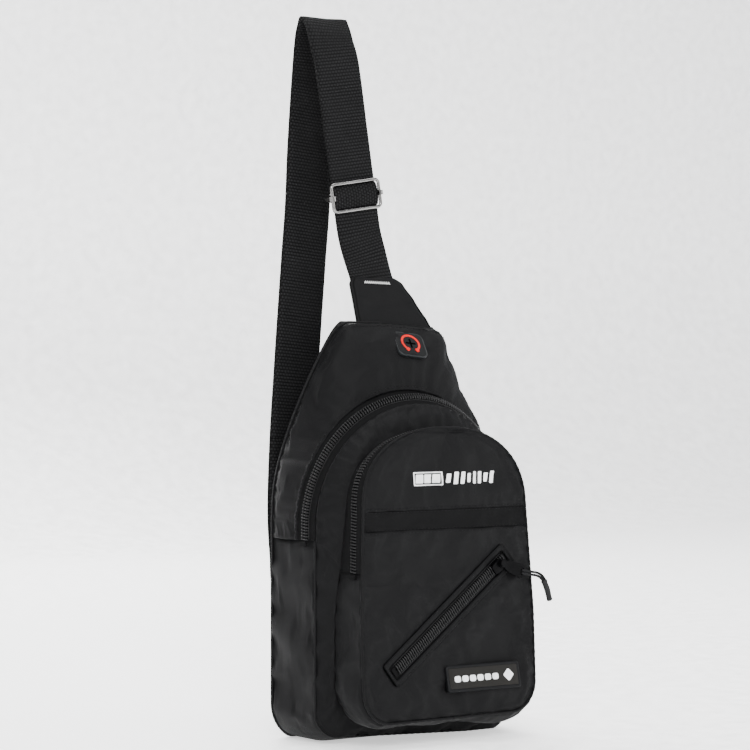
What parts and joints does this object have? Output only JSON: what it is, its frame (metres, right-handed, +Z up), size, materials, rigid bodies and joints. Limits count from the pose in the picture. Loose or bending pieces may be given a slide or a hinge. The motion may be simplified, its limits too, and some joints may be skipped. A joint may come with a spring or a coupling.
{
  "type": "sling bag",
  "caption": "Teardrop one-strap bag with an arched main zip, a front pocket with arched and slanted zips, and an adjustable webbing strap.",
  "frame": {"origin": "middle of the flat base of the main compartment", "axes": "+Z up along the bag, -Y out of the front pocket, +X to the right as seen from the front"},
  "size_m": [0.182, 0.1256, 0.5176],
  "materials": {
    "shell_fabric": "matte black polyester twill with a faint sheen",
    "band_ribbon": "black woven ribbon, slightly darker",
    "lining": "thin black lining",
    "foam": "closed foam sheet inside the back",
    "zip_tape": "black woven zip tape",
    "zip_coil": "black nylon coil",
    "zip_metal": "black enamelled zinc with bright edges",
    "webbing": "black ribbed nylon webbing",
    "nickel": "polished nickel wire",
    "rubber": "moulded black rubber",
    "print": "white screen print",
    "thread_white": "white bar-tack thread",
    "pull_cord": "braided black cord",
    "cord_end": "moulded black cord end"
  },
  "bodies": {
    "bag": {"back_panel": "shell_fabric", "back_foam": "foam", "inner_pocket": "lining", "main_gusset": "shell_fabric", "yoke": "shell_fabric", "main_front_panel": "shell_fabric", "main_tape_rear": "zip_tape", "main_tape_front": "zip_tape", "main_coil": "zip_coil", "main_zip_ends": "zip_metal", "pocket_gusset": "shell_fabric", "pocket_tape_rear": "zip_tape", "pocket_tape_front": "zip_tape", "pocket_coil": "zip_coil", "pocket_zip_ends": "zip_metal", "pocket_front_lower": "shell_fabric", "pocket_band": "band_ribbon", "pocket_front_upper": "shell_fabric", "diag_welts": "shell_fabric", "diag_tapes": "zip_tape", "diag_coil": "zip_coil", "diag_zip_ends": "zip_metal", "diag_pocket_bag": "lining", "rubber_label": "rubber", "chest_print": "print", "earphone_port": "rubber", "strap_tab": "shell_fabric", "tab_bartack": "thread_white", "strap_webbing": "webbing", "strap_return": "webbing", "strap_return_front": "webbing", "anchor_tab": "shell_fabric"},
    "main_slider_body": {"main_slider": "zip_metal"},
    "main_pull_body": {"main_pull": "zip_metal", "main_pull_cord_a": "pull_cord", "main_pull_cord_b": "pull_cord", "main_pull_end": "cord_end"},
    "pocket_slider_body": {"pocket_slider": "zip_metal"},
    "pocket_pull_body": {"pocket_pull": "zip_metal", "pocket_pull_cord_a": "pull_cord", "pocket_pull_cord_b": "pull_cord", "pocket_pull_end": "cord_end"},
    "diag_slider_body": {"diag_slider": "zip_metal"},
    "diag_pull_body": {"diag_pull": "zip_metal", "diag_pull_cord_a": "pull_cord", "diag_pull_cord_b": "pull_cord", "diag_pull_end": "cord_end"},
    "adjuster": {"adjuster_frame": "nickel"},
    "adjuster_centre": {"adjuster_bar": "nickel", "strap_end_loop": "webbing"},
    "anchor_ring_body": {"anchor_ring": "nickel"}
  },
  "joints": [
    {"name": "main_zip_travel", "type": "hinge", "parent": "bag", "child": "main_slider_body", "pos_m": [0, -0.016, 0.157], "axis": [0, -0.9946, -0.1041], "range_deg": [0, 180]},
    {"name": "main_pull_flip", "type": "hinge", "parent": "main_slider_body", "child": "main_pull_body", "pos_m": [0.0912, -0.016, 0.157], "axis": [0, -0.9946, -0.1041], "range_deg": [0, 170]},
    {"name": "pocket_zip_travel", "type": "slide", "parent": "bag", "child": "pocket_slider_body", "axis": [-0.0532, 0.0494, 0.9974], "range_m": [0, 0.026]},
    {"name": "pocket_pull_flip", "type": "hinge", "parent": "pocket_slider_body", "child": "pocket_pull_body", "pos_m": [0.07795, -0.05641, 0.13228], "axis": [-0.0026, -0.9988, 0.0493], "range_deg": [0, 170]},
    {"name": "diag_zip_travel", "type": "slide", "parent": "bag", "child": "diag_slider_body", "axis": [-0.7986, -0.0298, -0.6011], "range_m": [0, 0.108]},
    {"name": "diag_pull_swivel", "type": "hinge", "parent": "diag_slider_body", "child": "diag_pull_body", "pos_m": [0.04497, -0.07207, 0.12473], "axis": [0, -0.9988, 0.0494], "range_deg": [-110, 35]},
    {"name": "adjuster_travel", "type": "slide", "parent": "bag", "child": "adjuster", "axis": [-0.158, 0, 0.9874], "range_m": [-0.015, 0.065], "deforming": ["strap_return_front"]},
    {"name": "adjuster_bar_travel", "type": "slide", "parent": "adjuster", "child": "adjuster_centre", "axis": [-0.158, 0, 0.9874], "range_m": [-0.004, 0.004]},
    {"name": "anchor_ring_swing", "type": "hinge", "parent": "bag", "child": "anchor_ring_body", "pos_m": [-0.0605, 0.033, 0.099], "axis": [1, 0, 0], "range_deg": [-10, 10]}
  ]
}
